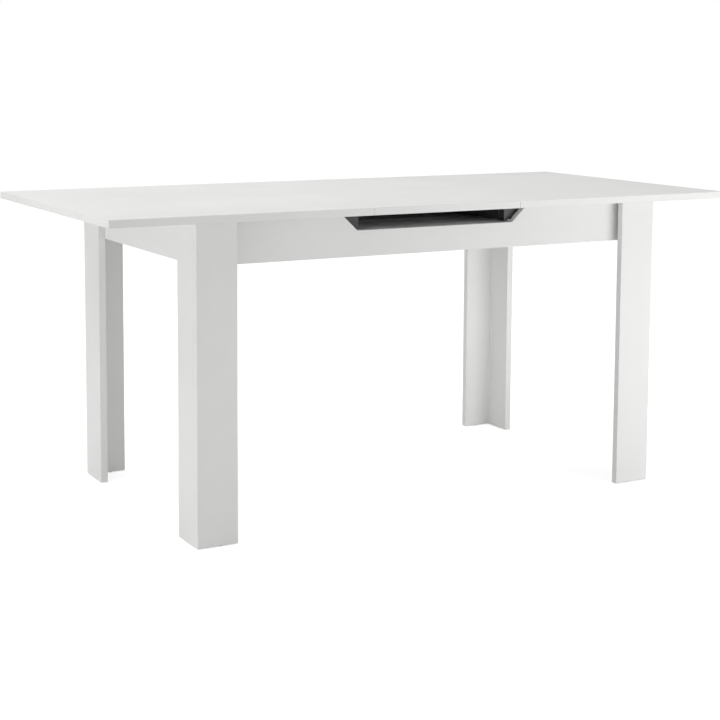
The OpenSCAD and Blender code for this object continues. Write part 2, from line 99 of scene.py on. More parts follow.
# a mask that is strong on rounded arrises, where the piece's arris attribute is 1, broken up by noise
def buildEdgeWear():
    group = newGroup("edgeWear", "ShaderNodeTree",
        [("Vector", "NodeSocketVector", None), ("Arris", "NodeSocketFloat", 0.0),
         ("Break Scale", "NodeSocketFloat", 60.0), ("Amount", "NodeSocketFloat", 0.5)],
        [("Mask", "NodeSocketFloat")])
    given = addNode(group, "NodeGroupInput", (0, 0))
    noise = addNode(group, "ShaderNodeTexNoise", (1, 0))
    setInputs(noise, Detail=4.0, Roughness=0.65)
    ramp = addNode(group, "ShaderNodeMapRange", (2, 0))
    setInputs(ramp, From_Min=0.42, From_Max=0.68)
    onArris = addNode(group, "ShaderNodeMath", (3, 0), operation="MULTIPLY")
    scaled = addNode(group, "ShaderNodeMath", (4, 0), operation="MULTIPLY")
    out = addNode(group, "NodeGroupOutput", (5, 0))
    link = group.links.new
    link(given.outputs["Vector"], noise.inputs["Vector"])
    link(given.outputs["Break Scale"], noise.inputs["Scale"])
    link(noise.outputs["Fac"], ramp.inputs["Value"])
    link(ramp.outputs["Result"], onArris.inputs[0])
    link(given.outputs["Arris"], onArris.inputs[1])
    link(onArris.outputs["Value"], scaled.inputs[0])
    link(given.outputs["Amount"], scaled.inputs[1])
    link(scaled.outputs["Value"], out.inputs["Mask"])
    return group


# fine dust that gathers on faces that look up and thins out over the rest
def buildDust():
    group = newGroup("dustFall", "ShaderNodeTree",
        [("Vector", "NodeSocketVector", None), ("Normal", "NodeSocketVector", None),
         ("Amount", "NodeSocketFloat", 0.2)],
        [("Mask", "NodeSocketFloat")])
    given = addNode(group, "NodeGroupInput", (0, 0))
    split = addNode(group, "ShaderNodeSeparateXYZ", (1, 0))
    lift = addNode(group, "ShaderNodeMapRange", (2, 0))
    setInputs(lift, From_Min=0.2, From_Max=1.0)
    noise = addNode(group, "ShaderNodeTexNoise", (1, 1))
    setInputs(noise, Scale=38.0, Detail=6.0, Roughness=0.7)
    both = addNode(group, "ShaderNodeMath", (3, 0), operation="MULTIPLY")
    scaled = addNode(group, "ShaderNodeMath", (4, 0), operation="MULTIPLY")
    out = addNode(group, "NodeGroupOutput", (5, 0))
    link = group.links.new
    link(given.outputs["Normal"], split.inputs["Vector"])
    link(split.outputs["Z"], lift.inputs["Value"])
    link(given.outputs["Vector"], noise.inputs["Vector"])
    link(lift.outputs["Result"], both.inputs[0])
    link(noise.outputs["Fac"], both.inputs[1])
    link(both.outputs["Value"], scaled.inputs[0])
    link(given.outputs["Amount"], scaled.inputs[1])
    link(scaled.outputs["Value"], out.inputs["Mask"])
    return group


filmGrain = buildFilmGrain()
edgeWear = buildEdgeWear()
dustFall = buildDust()


def startMaterial(name):
    material = bpy.data.materials.new(name)
    material.use_nodes = True
    tree = material.node_tree
    return material, tree, tree.nodes["Principled BSDF"]


def addCoords(tree):
    return addNode(tree, "ShaderNodeTexCoord", (-8, 0))


def addGroup(tree, group, place, vector, **values):
    node = addNode(tree, "ShaderNodeGroup", place)
    node.node_tree = group
    setInputs(node, **values)
    tree.links.new(vector, node.inputs["Vector"])
    return node


mixSockets = {"factor": 0, "first": 6, "second": 7, "result": 2}      # a Mix node's sockets for colour


# first and second are a colour each, or a socket that gives one
def mixColor(tree, place, mask, first, second):
    mix = addNode(tree, "ShaderNodeMix", place, data_type="RGBA")
    for side, value in (("first", first), ("second", second)):
        socket = mix.inputs[mixSockets[side]]
        if isinstance(value, bpy.types.NodeSocket):
            tree.links.new(value, socket)
        else:
            socket.default_value = (*value, 1.0)
    tree.links.new(mask, mix.inputs[mixSockets["factor"]])
    return mix.outputs[mixSockets["result"]]


# noise mostly lies between 0.3 and 0.7, so that span is spread over low to high
def rangeOf(tree, place, value, low=0.0, high=1.0, fromLow=0.3, fromHigh=0.7):
    node = addNode(tree, "ShaderNodeMapRange", place)
    setInputs(node, From_Min=fromLow, From_Max=fromHigh, To_Min=low, To_Max=high)
    tree.links.new(value, node.inputs["Value"])
    return node.outputs["Result"]


def roughRange(tree, place, value, look):
    spread = look["roughSpread"]
    return rangeOf(tree, place, value, low=look["rough"] - spread, high=look["rough"] + spread)


def addBump(tree, place, height, look):
    bump = addNode(tree, "ShaderNodeBump", place)
    setInputs(bump, Strength=look["bump"], Distance=look["bumpDepth"])
    tree.links.new(height, bump.inputs["Height"])
    return bump.outputs["Normal"]


# melamine film or edging: press grain, worn arrises and a little dust
def boardFinish(name, look):
    material, tree, shader = startMaterial(name)
    coords = addCoords(tree)
    place = coords.outputs["Object"]
    link = tree.links.new
    grain = addGroup(tree, filmGrain, (-6, 0), place, Pebble_Scale=look["pebbleScale"],
        Wave_Scale=look["waveScale"], Wave_Share=look["waveShare"])
    arris = addNode(tree, "ShaderNodeAttribute", (-8, 2), attribute_name="arris")
    wear = addGroup(tree, edgeWear, (-6, 2), place, Break_Scale=look["wearScale"], Amount=look["wear"])
    link(arris.outputs["Fac"], wear.inputs["Arris"])
    dust = addGroup(tree, dustFall, (-6, 3), place, Amount=look["dust"])
    link(coords.outputs["Normal"], dust.inputs["Normal"])
    cloud = rangeOf(tree, (-5, 0), grain.outputs["Cloud"])
    film = mixColor(tree, (-4, 0), cloud, look["dark"], look["light"])
    worn = mixColor(tree, (-3, 0), wear.outputs["Mask"], film, look["worn"])
    dusty = mixColor(tree, (-2, 0), dust.outputs["Mask"], worn, look["dustColor"])
    link(dusty, shader.inputs["Base Color"])
    roughWorn = addNode(tree, "ShaderNodeMath", (-3, 1), operation="ADD")
    link(roughRange(tree, (-4, 1), grain.outputs["Cloud"], look), roughWorn.inputs[0])
    link(wear.outputs["Mask"], roughWorn.inputs[1])
    link(roughWorn.outputs["Value"], shader.inputs["Roughness"])
    link(addBump(tree, (-2, 2), grain.outputs["Height"], look), shader.inputs["Normal"])
    shader.inputs["IOR"].default_value = look["ior"]
    shader.inputs["Specular IOR Level"].default_value = look["gloss"]
    return material


# plated or powder coated metal: scratches stretched by the look, and mottled plating
def metalFinish(name, look):
    material, tree, shader = startMaterial(name)
    coords = addCoords(tree)
    link = tree.links.new
    mapping = addNode(tree, "ShaderNodeMapping", (-7, 0))
    mapping.inputs["Scale"].default_value = look["stretch"]
    link(coords.outputs["Object"], mapping.inputs["Vector"])
    scratch = addNode(tree, "ShaderNodeTexNoise", (-6, 0))
    setInputs(scratch, Scale=look["scratchScale"], Detail=5.0, Roughness=0.7)
    link(mapping.outputs["Vector"], scratch.inputs["Vector"])
    mottle = addNode(tree, "ShaderNodeTexVoronoi", (-6, 1), feature="SMOOTH_F1")
    setInputs(mottle, Scale=look["mottleScale"], Smoothness=0.6)
    link(coords.outputs["Object"], mottle.inputs["Vector"])
    patch = rangeOf(tree, (-5, 1), mottle.outputs["Distance"], fromLow=0.1, fromHigh=0.8)
    link(mixColor(tree, (-3, 0), patch, look["light"], look["dark"]), shader.inputs["Base Color"])
    link(roughRange(tree, (-3, 1), scratch.outputs["Fac"], look), shader.inputs["Roughness"])
    link(addBump(tree, (-2, 2), scratch.outputs["Fac"], look), shader.inputs["Normal"])
    shader.inputs["Metallic"].default_value = look["metallic"]
    return material


# moulded nylon with a spark-eroded texture
def plasticFinish(name, look):
    material, tree, shader = startMaterial(name)
    coords = addCoords(tree)
    link = tree.links.new
    spark = addNode(tree, "ShaderNodeTexNoise", (-6, 0))
    setInputs(spark, Scale=look["sparkScale"], Detail=3.0, Roughness=0.6)
    cloud = addNode(tree, "ShaderNodeTexNoise", (-6, 1))
    setInputs(cloud, Scale=look["cloudScale"], Detail=3.0)
    for texture in (spark, cloud):
        link(coords.outputs["Object"], texture.inputs["Vector"])
    patch = rangeOf(tree, (-5, 1), cloud.outputs["Fac"])
    link(mixColor(tree, (-3, 0), patch, look["dark"], look["light"]), shader.inputs["Base Color"])
    link(roughRange(tree, (-3, 1), spark.outputs["Fac"], look), shader.inputs["Roughness"])
    link(addBump(tree, (-2, 2), spark.outputs["Fac"], look), shader.inputs["Normal"])
    return material


# planed beech: soft growth rings and short dark flecks
def beechFinish(name, look):
    material, tree, shader = startMaterial(name)
    coords = addCoords(tree)
    link = tree.links.new
    mapping = addNode(tree, "ShaderNodeMapping", (-7, 0))
    mapping.inputs["Scale"].default_value = look["stretch"]
    link(coords.outputs["Object"], mapping.inputs["Vector"])
    rings = addNode(tree, "ShaderNodeTexWave", (-6, 0), bands_direction="Z")
    setInputs(rings, Scale=look["ringScale"], Distortion=3.0, Detail=3.0)
    flecks = addNode(tree, "ShaderNodeTexNoise", (-6, 1))
    setInputs(flecks, Scale=look["fleckScale"], Detail=4.0)
    for texture in (rings, flecks):
        link(mapping.outputs["Vector"], texture.inputs["Vector"])
    grainColor = mixColor(tree, (-4, 0), rings.outputs["Fac"], look["dark"], look["light"])
    fleck = rangeOf(tree, (-4, 1), flecks.outputs["Fac"], high=0.5, fromLow=0.55, fromHigh=0.75)
    link(mixColor(tree, (-3, 0), fleck, grainColor, look["fleck"]), shader.inputs["Base Color"])
    link(roughRange(tree, (-3, 1), flecks.outputs["Fac"], look), shader.inputs["Roughness"])
    link(addBump(tree, (-2, 2), flecks.outputs["Fac"], look), shader.inputs["Normal"])
    return material


# felt: matted short fibres under a soft sheen
def feltFinish(name, look):
    material, tree, shader = startMaterial(name)
    coords = addCoords(tree)
    link = tree.links.new
    fibres = addNode(tree, "ShaderNodeTexNoise", (-6, 0))
    setInputs(fibres, Scale=look["fibreScale"], Detail=6.0, Roughness=0.8, Distortion=1.5)
    link(coords.outputs["Object"], fibres.inputs["Vector"])
    tuft = rangeOf(tree, (-5, 0), fibres.outputs["Fac"])
    link(mixColor(tree, (-3, 0), tuft, look["dark"], look["light"]), shader.inputs["Base Color"])
    shader.inputs["Roughness"].default_value = look["rough"]
    shader.inputs["Sheen Weight"].default_value = look["sheen"]
    link(addBump(tree, (-2, 2), fibres.outputs["Fac"], look), shader.inputs["Normal"])
    return material


# scales count the pattern's cells in a metre, bump is a share of bumpDepth
whiteFilm = {
    "dark": (0.80, 0.80, 0.79), "light": (0.83, 0.83, 0.82), "worn": (0.70, 0.69, 0.67),
    "dustColor": (0.72, 0.71, 0.69), "dust": 0.04,
    "pebbleScale": 950.0, "waveScale": 4.0, "waveShare": 0.25,
    "wearScale": 70.0, "wear": 0.25,
    "rough": 0.50, "roughSpread": 0.05, "gloss": 0.40, "ior": 1.5,
    "bump": 0.25, "bumpDepth": 0.2 * mm,
}
whiteEdge = {
    **whiteFilm, "light": (0.84, 0.84, 0.83), "rough": 0.36, "pebbleScale": 1500.0, "bump": 0.15, "wear": 0.4,
}
# painted shade: a near-black film for the cross rails, standing in for the deep shade inside the frame
paintedShadeFilm = {
    "dark": (0.085, 0.085, 0.088), "light": (0.105, 0.105, 0.108), "worn": (0.17, 0.155, 0.135),
    "dustColor": (0.26, 0.255, 0.25), "dust": 0.10,
    "pebbleScale": 700.0, "waveScale": 6.0, "waveShare": 0.3,
    "wearScale": 60.0, "wear": 0.8,
    "rough": 0.5, "roughSpread": 0.05, "gloss": 0.4, "ior": 1.5,
    "bump": 0.35, "bumpDepth": 0.2 * mm,
}
# painted shade: a mid grey film for the hinge rail and tray, standing in for the shade inside the frame
paintedShadeGreyFilm = {
    **paintedShadeFilm, "dark": (0.50, 0.50, 0.51), "light": (0.56, 0.56, 0.57), "worn": (0.42, 0.39, 0.35),
}
zincLook = {
    "dark": (0.48, 0.48, 0.50), "light": (0.62, 0.63, 0.66),
    "stretch": (0.1, 1.0, 1.0), "scratchScale": 900.0, "mottleScale": 260.0,
    "rough": 0.34, "roughSpread": 0.1, "metallic": 0.95, "bump": 0.25, "bumpDepth": 0.1 * mm,
}
blackLook = {
    "dark": (0.012, 0.012, 0.013), "light": (0.020, 0.020, 0.022),
    "stretch": (1.0, 1.0, 1.0), "scratchScale": 1300.0, "mottleScale": 500.0,
    "rough": 0.50, "roughSpread": 0.1, "metallic": 0.0, "bump": 0.5, "bumpDepth": 0.1 * mm,
}
# painted shade: the runners are near black to stand in for the deep shade round their inner ends inside the
# frame
runnerShadeLook = {**blackLook, "light": (0.030, 0.030, 0.033), "dark": (0.020, 0.020, 0.022), "rough": 0.42}
nylonLook = {
    "dark": (0.62, 0.62, 0.59), "light": (0.70, 0.70, 0.67), "sparkScale": 1100.0, "cloudScale": 30.0,
    "rough": 0.48, "roughSpread": 0.06, "bump": 0.4, "bumpDepth": 0.2 * mm,
}
beechLook = {
    "dark": (0.50, 0.30, 0.16), "light": (0.62, 0.42, 0.25), "fleck": (0.33, 0.18, 0.09),
    "stretch": (4.0, 4.0, 40.0), "ringScale": 2.0, "fleckScale": 220.0,
    "rough": 0.6, "roughSpread": 0.1, "bump": 0.3, "bumpDepth": 0.2 * mm,
}
feltLook = {
    "dark": (0.22, 0.22, 0.225), "light": (0.42, 0.42, 0.425), "fibreScale": 1400.0,
    "rough": 0.95, "sheen": 0.5, "bump": 0.9, "bumpDepth": 0.6 * mm,
}

finishes = {
    "film": boardFinish("whiteMelamine", whiteFilm),
    "edge": boardFinish("whiteEdging", whiteEdge),
    # the dark and grey films are painted shade, for the boards deep inside the frame
    "paintedShadeFilm": boardFinish("paintedShadeMelamine", paintedShadeFilm),
    "paintedShadeGreyFilm": boardFinish("paintedShadeGreyMelamine", paintedShadeGreyFilm),
    "zinc": metalFinish("brightZinc", zincLook),
    "runner": metalFinish("blackChannelShade", runnerShadeLook),
    "black": metalFinish("blackPowder", blackLook),
    "nylon": plasticFinish("naturalNylon", nylonLook),
    "beech": beechFinish("beechWood", beechLook),
    "felt": feltFinish("greyFelt", feltLook),
}
print("finishes:", ", ".join(finishes))

cadReading = {"weld": 0.002 * mm, "level": 0.01 * mm, "sortDigits": 4}     # level: equal within this


# a copy of a CAD node's mesh, its loose triangles welded
def cadMesh(node):
    mesh = bmesh.new()
    mesh.from_mesh(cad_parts[node].data)
    bmesh.ops.remove_doubles(mesh, verts=mesh.verts, dist=cadReading["weld"])
    return mesh


def middle(points):
    return [sum(values) / len(points) for values in zip(*points)]


# the corner points of each separate solid in a node, in the order of their places
def islands(node):
    mesh = cadMesh(node)
    left = set(mesh.verts)
    found = []
    while left:
        start = left.pop()
        group, queue = [start], [start]
        while queue:
            for edge in queue.pop().link_edges:
                for vert in edge.verts:
                    if vert in left:
                        left.remove(vert)
                        group.append(vert)
                        queue.append(vert)
        found.append([vert.co.copy() for vert in group])
    mesh.free()
    digits = cadReading["sortDigits"]
    return sorted(found, key=lambda points: [round(value, digits) for value in middle(points)])


def finishPiece(mesh, name, body, node):
    piece = bpy.data.objects.new(name, mesh)
    bpy.context.scene.collection.objects.link(piece)
    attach(piece, body)
    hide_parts(node)


boardLook = {
    "arris": 0.9 * mm, "steps": 3,              # radius of the pressed film's arrises, and its facets
    "jointArris": 0.15 * mm, "jointSteps": 1,   # panels that butt against their edging
    "darkArris": 0.5 * mm,
    "sharp": 50.0, "flat": 0.5,                 # degrees: an arris from here up, one plane up to here
    "wall": 0.5, "face": 0.999,                 # share of a normal that lies across the board
    "slotWall": 12.0 * mm * mm, "slotEdge": 0.5 * mm,
    "areaSlack": 0.004,
}


# true along the slot's outline, whose walls are wider than any hole's
def onOutline(edge, thin):
    walls = [face for face in edge.link_faces if abs(face.normal[thin]) < boardLook["wall"]]
    widest = max((face.calc_area() for face in walls), default=0.0)
    return widest > boardLook["slotWall"] and edge.calc_length() > boardLook["slotEdge"]


# sharp edges that lie on two faces of the board's box, or on the slot's outline in one of its broad faces
def outlineEdges(mesh, low, high, thin):
    chosen = []
    for edge in mesh.edges:
        if len(edge.link_faces) != 2 or edge.calc_face_angle(0.0) < math.radians(boardLook["sharp"]):
            continue
        ends = [vert.co for vert in edge.verts]
        planes = [axis for axis in range(3) for level in (low[axis], high[axis])
                  if all(abs(point[axis] - level) < cadReading["level"] for point in ends)]
        if len(planes) >= 2 or (thin in planes and onOutline(edge, thin)):
            chosen.append(edge)
    return chosen


# a board is a copy of its CAD solid with softened arrises
def softBoard(node, body, name, radius, faceFinish, edgeFinish, steps=boardLook["steps"]):
    mesh = cadMesh(node)
    areaBefore = sum(face.calc_area() for face in mesh.faces)
    bmesh.ops.dissolve_limit(mesh, angle_limit=math.radians(boardLook["flat"]), verts=mesh.verts,
        edges=mesh.edges)
    low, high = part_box(node)
    size = high - low
    thin = min(range(3), key=lambda axis: size[axis])
    arris = mesh.faces.layers.float.new("arris")
    edges = outlineEdges(mesh, low, high, thin)
    made = bmesh.ops.bevel(mesh, geom=edges, offset=radius, segments=steps, profile=0.5, affect="EDGES",
        clamp_overlap=True)
    for face in made["faces"]:
        face[arris] = 1.0
    for face in mesh.faces:
        face.material_index = 0 if abs(face.normal[thin]) > boardLook["face"] else 1
        face.smooth = face[arris] > 0.5
    manySided = [face for face in mesh.faces if len(face.verts) > 4]
    bmesh.ops.triangulate(mesh, faces=manySided)
    areaChange = sum(face.calc_area() for face in mesh.faces) / areaBefore - 1.0
    if abs(areaChange) > boardLook["areaSlack"]:
        print(f"{name}: area changed by {areaChange:.4f}")
    data = bpy.data.meshes.new(name)
    data.materials.append(finishes[faceFinish])
    data.materials.append(finishes[edgeFinish])
    mesh.to_mesh(data)
    mesh.free()
    finishPiece(data, name, body, node)


# four mitred strips round a panel, their outer arrises rounded
def edgingRing(panel):
    node = f"{panel}_edging"
    outer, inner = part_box(node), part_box(panel)
    mesh = bmesh.new()
    arris = mesh.faces.layers.float.new("arris")
    rings = []
    for (low, high), level in ((outer, 0), (outer, 1), (inner, 1), (inner, 0)):
        z = high.z if level else low.z
        corners = ((low.x, low.y), (high.x, low.y), (high.x, high.y), (low.x, high.y))
        rings.append([mesh.verts.new((x, y, z)) for x, y in corners])
    for ring, nextRing in zip(rings, rings[1:] + rings[:1]):
        for i in range(4):
            mesh.faces.new((ring[i], ring[(i + 1) % 4], nextRing[(i + 1) % 4], nextRing[i]))
    outside = set(rings[0] + rings[1])
    edges = [edge for edge in mesh.edges if set(edge.verts) <= outside]
    made = bmesh.ops.bevel(mesh, geom=edges, offset=boardLook["arris"], segments=boardLook["steps"],
        profile=0.5, affect="EDGES")
    for face in made["faces"]:
        face[arris] = 1.0
        face.smooth = True
    bmesh.ops.recalc_face_normals(mesh, faces=mesh.faces)
    data = bpy.data.meshes.new(f"{panel}-edging")
    data.materials.append(finishes["edge"])
    mesh.to_mesh(data)
    mesh.free()
    finishPiece(data, data.name, panel, node)


# finish of a frame board's faces and of its edges, its material slot and its arris
frameBoards = {
    "white": ("film", "edge", "board", boardLook["arris"]),
    # dark: painted shade, a near-black film for the deep shade on the cross rails
    "dark": ("paintedShadeFilm", "paintedShadeFilm", "inner_board", boardLook["darkArris"]),
    # grey: painted shade, a mid grey film for the shade on the hinge rail and tray
    "grey": ("paintedShadeGreyFilm", "paintedShadeGreyFilm", "inner_board", boardLook["darkArris"]),
}


def makeFrameBoard(node, kind):
    faceFinish, edgeFinish, slotName, radius = frameBoards[kind]
    softBoard(node, "frame", node.replace("_", "-"), radius, faceFinish, edgeFinish)


def makeBoards():
    panels = ("left_top", "right_top", "leaf_rear", "leaf_front")
    for panel in panels:
        softBoard(panel, panel, f"{panel}-panel", boardLook["jointArris"], "film", "film",
            boardLook["jointSteps"])
        edgingRing(panel)
    for end in ("front", "rear"):
        makeFrameBoard(f"{end}_apron", "white")
        for side in ("left", "right"):
            makeFrameBoard(f"leg_{end}_{side}_face", "white")
            makeFrameBoard(f"leg_{end}_{side}_side", "white")
    for side in ("left", "right"):
        makeFrameBoard(f"{side}_apron", "white")
        # painted shade: the cross rails get the near-black film for the deep shade inside the frame
        makeFrameBoard(f"{side}_cross_rail", "dark")
    # painted shade: the hinge rail and tray get the mid grey film for the shade inside the frame
    for node in ("hinge_rail", "tray"):
        makeFrameBoard(node, "grey")
    print("boards done:", len(panels), "panels with their edging, and the frame")


screwLook = {
    "sides": 28, "shankSides": 12,
    "headTaper": 0.88,                          # radius of the head's outer face, as a share of its rim's
    "recessWidth": 0.28, "recessLength": 1.1,   # a bar of the cross, as shares of the head's radius
    "recessDepth": 1.1,                         # twice its depth, as a share of the head's height
    "hiddenHead": 1.0 * mm,                     # height of a head whose CAD solid has no rim
}


# a screw on every point, which carries the way it points (aim) and its head's and shank's radius and length
def buildScrewField():
    tree = newGroup("screwField", "GeometryNodeTree",
        [("Geometry", "NodeSocketGeometry", None), ("Sides", "NodeSocketInt", screwLook["sides"]),
         ("Recess Width", "NodeSocketFloat", screwLook["recessWidth"]),
         ("Recess Depth", "NodeSocketFloat", screwLook["recessDepth"]),
         ("Finish", "NodeSocketMaterial", None)],
        [("Geometry", "NodeSocketGeometry")])
    link = tree.links.new
    given = addNode(tree, "NodeGroupInput", (0, 0))
    out = addNode(tree, "NodeGroupOutput", (9, 0))

    def pointVector(name, row):
        node = addNode(tree, "GeometryNodeInputNamedAttribute", (1, row), data_type="FLOAT_VECTOR")
        node.inputs["Name"].default_value = name
        return node.outputs["Attribute"]

    turn = addNode(tree, "FunctionNodeAlignRotationToVector", (2, 3), axis="Z")
    link(pointVector("aim", 3), turn.inputs["Vector"])

    # unit head: a tapered disc of radius and height 1 above the point, with a cross cut into its lower face
    head = addNode(tree, "GeometryNodeMeshCone", (1, 1))
    setInputs(head, Radius_Top=1.0, Radius_Bottom=screwLook["headTaper"], Depth=1.0)
    link(given.outputs["Sides"], head.inputs["Vertices"])
    cross = addNode(tree, "GeometryNodeJoinGeometry", (3, 2))
    for turnBy in (0.0, math.pi / 2):
        bar = addNode(tree, "GeometryNodeMeshCube", (1, 2))
        size = addNode(tree, "ShaderNodeCombineXYZ", (0, 2))
        size.inputs["X"].default_value = screwLook["recessLength"]
        link(given.outputs["Recess Width"], size.inputs["Y"])
        link(given.outputs["Recess Depth"], size.inputs["Z"])
        link(size.outputs["Vector"], bar.inputs["Size"])
        spin = addNode(tree, "GeometryNodeTransform", (2, 2))
        spin.inputs["Rotation"].default_value = Euler((0.0, 0.0, turnBy))
        link(bar.outputs["Mesh"], spin.inputs["Geometry"])
        link(spin.outputs["Geometry"], cross.inputs["Geometry"])
    cut = addNode(tree, "GeometryNodeMeshBoolean", (5, 1), operation="DIFFERENCE", solver="EXACT")
    cut.inputs["Self Intersection"].default_value = True
    link(head.outputs["Mesh"], cut.inputs["Mesh 1"])
    link(cross.outputs["Geometry"], cut.inputs["Mesh 2"])

    # unit shank: radius 1 and length 1 above the point
    rod = addNode(tree, "GeometryNodeMeshCylinder", (1, 4))
    setInputs(rod, Vertices=screwLook["shankSides"], Radius=1.0, Depth=1.0)
    lift = addNode(tree, "GeometryNodeTransform", (2, 4))
    lift.inputs["Translation"].default_value = (0.0, 0.0, 0.5)
    link(rod.outputs["Mesh"], lift.inputs["Geometry"])

    whole = addNode(tree, "GeometryNodeJoinGeometry", (7, 0))
    for shape, sizeName in ((cut.outputs["Mesh"], "headSize"), (lift.outputs["Geometry"], "shankSize")):
        place = addNode(tree, "GeometryNodeInstanceOnPoints", (6, 0))
        link(given.outputs["Geometry"], place.inputs["Points"])
        link(shape, place.inputs["Instance"])
        link(turn.outputs["Rotation"], place.inputs["Rotation"])
        link(pointVector(sizeName, 5), place.inputs["Scale"])
        link(place.outputs["Instances"], whole.inputs["Geometry"])
    solid = addNode(tree, "GeometryNodeRealizeInstances", (7, 1))
    paint = addNode(tree, "GeometryNodeSetMaterial", (8, 0))
    link(whole.outputs["Geometry"], solid.inputs["Geometry"])
    link(solid.outputs["Geometry"], paint.inputs["Geometry"])
    link(given.outputs["Finish"], paint.inputs["Material"])
    link(paint.outputs["Geometry"], out.inputs["Geometry"])
    return tree


glideLook = {
    "sides": 40, "tallest": 10.0 * mm,
    # radius at the ring's foot and top as shares of the glide's, and where the ring starts and ends in height
    "rings": ((0.80, 0.94, 0.0, 0.22), (0.94, 1.0, 0.22, 0.5), (0.9, 0.9, 0.5, 0.62), (1.0, 1.0, 0.62, 1.0)),
}


# turned floor glides: a tapered foot, a round shoulder and a ring groove, one on every point
def buildGlideField():
    tree = newGroup("glideField", "GeometryNodeTree",
        [("Geometry", "NodeSocketGeometry", None), ("Radius", "NodeSocketFloat", 7.0 * mm),
         ("Height", "NodeSocketFloat", 3.0 * mm), ("Sides", "NodeSocketInt", glideLook["sides"]),
         ("Finish", "NodeSocketMaterial", None)],
        [("Geometry", "NodeSocketGeometry")])
    link = tree.links.new
    given = addNode(tree, "NodeGroupInput", (0, 0))
    out = addNode(tree, "NodeGroupOutput", (8, 0))
    whole = addNode(tree, "GeometryNodeJoinGeometry", (4, 0))

    def shareOf(source, share, place):
        node = addNode(tree, "ShaderNodeMath", place, operation="MULTIPLY")
        node.inputs[1].default_value = share
        link(given.outputs[source], node.inputs[0])
        return node.outputs["Value"]

    for row, (footRadius, topRadius, start, end) in enumerate(glideLook["rings"]):
        cone = addNode(tree, "GeometryNodeMeshCone", (2, row))
        link(given.outputs["Sides"], cone.inputs["Vertices"])
        link(shareOf("Radius", footRadius, (1, row)), cone.inputs["Radius Bottom"])
        link(shareOf("Radius", topRadius, (1, row)), cone.inputs["Radius Top"])
        link(shareOf("Height", end - start, (1, row)), cone.inputs["Depth"])
        move = addNode(tree, "GeometryNodeTransform", (3, row))
        offset = addNode(tree, "ShaderNodeCombineXYZ", (3, row + 1))
        link(shareOf("Height", start, (2, row + 1)), offset.inputs["Z"])
        link(offset.outputs["Vector"], move.inputs["Translation"])
        link(cone.outputs["Mesh"], move.inputs["Geometry"])
        link(move.outputs["Geometry"], whole.inputs["Geometry"])
    place = addNode(tree, "GeometryNodeInstanceOnPoints", (5, 0))
    solid = addNode(tree, "GeometryNodeRealizeInstances", (6, 0))
    paint = addNode(tree, "GeometryNodeSetMaterial", (7, 0))
    link(given.outputs["Geometry"], place.inputs["Points"])
    link(whole.outputs["Geometry"], place.inputs["Instance"])
    link(place.outputs["Instances"], solid.inputs["Geometry"])
    link(solid.outputs["Geometry"], paint.inputs["Geometry"])
    link(given.outputs["Finish"], paint.inputs["Material"])
    link(paint.outputs["Geometry"], out.inputs["Geometry"])
    return tree


# runs a tree over loose points, with a vector from each list on each point, and keeps the plain mesh
def growPiece(name, tree, points, vectors, values):
    loose = bpy.data.meshes.new(name + "-points")
    loose.from_pydata(points, [], [])
    for label, perPoint in vectors.items():
        layer = loose.attributes.new(label, "FLOAT_VECTOR", "POINT")
        for item, value in zip(layer.data, perPoint):
            item.vector = value
    carrier = bpy.data.objects.new(name + "-carrier", loose)
    bpy.context.scene.collection.objects.link(carrier)
    modifier = carrier.modifiers.new("grow", "NODES")
    modifier.node_group = tree
    for item in tree.interface.items_tree:
        if item.item_type == "SOCKET" and item.in_out == "INPUT" and item.name in values:
            modifier[item.identifier] = values[item.name]
    shown = carrier.evaluated_get(bpy.context.evaluated_depsgraph_get())
    mesh = bpy.data.meshes.new_from_object(shown)
    mesh.name = name
    carrier.modifiers.remove(modifier)
    bpy.data.objects.remove(carrier)
    for polygon in mesh.polygons:
        polygon.use_smooth = False
    return mesh


# a screw's axis is its long side, and its head is the end with the wider ring
def readScrew(points):
    low = Vector([min(point[axis] for point in points) for axis in range(3)])
    high = Vector([max(point[axis] for point in points) for axis in range(3)])
    size = high - low
    centre = (low + high) / 2
    long = max(range(3), key=lambda axis: size[axis])

    def fromAxis(point):
        return max(abs(point[axis] - centre[axis]) for axis in range(3) if axis != long)

    def radiusAt(level):
        return max(fromAxis(point) for point in points if abs(point[long] - level) < cadReading["level"])

    headIsLow = radiusAt(low[long]) >= radiusAt(high[long])
    top, tip = (low[long], high[long]) if headIsLow else (high[long], low[long])
    shankRadius = radiusAt(tip)
    rim = [abs(point[long] - top) for point in points if fromAxis(point) > shankRadius + cadReading["level"]]
    aim = Vector((0.0, 0.0, 0.0))
    aim[long] = 1.0 if headIsLow else -1.0
    place = centre.copy()
    place[long] = top
    return {"place": place, "aim": aim, "head": radiusAt(top), "shank": shankRadius,
            "depth": max(rim, default=0.0) or screwLook["hiddenHead"], "length": size[long]}


def makeScrews(node, body, tree):
    screws = [readScrew(points) for points in islands(node)]
    vectors = {
        "aim": [screw["aim"] for screw in screws],
        "headSize": [(screw["head"], screw["head"], screw["depth"]) for screw in screws],
        "shankSize": [(screw["shank"], screw["shank"], screw["length"]) for screw in screws],
    }
    mesh = growPiece(f"{node}-turned".replace("_", "-"), tree, [screw["place"] for screw in screws], vectors,
        {"Sides": screwLook["sides"], "Recess Width": screwLook["recessWidth"],
         "Recess Depth": screwLook["recessDepth"], "Finish": finishes["zinc"]})
    finishPiece(mesh, mesh.name, body, node)


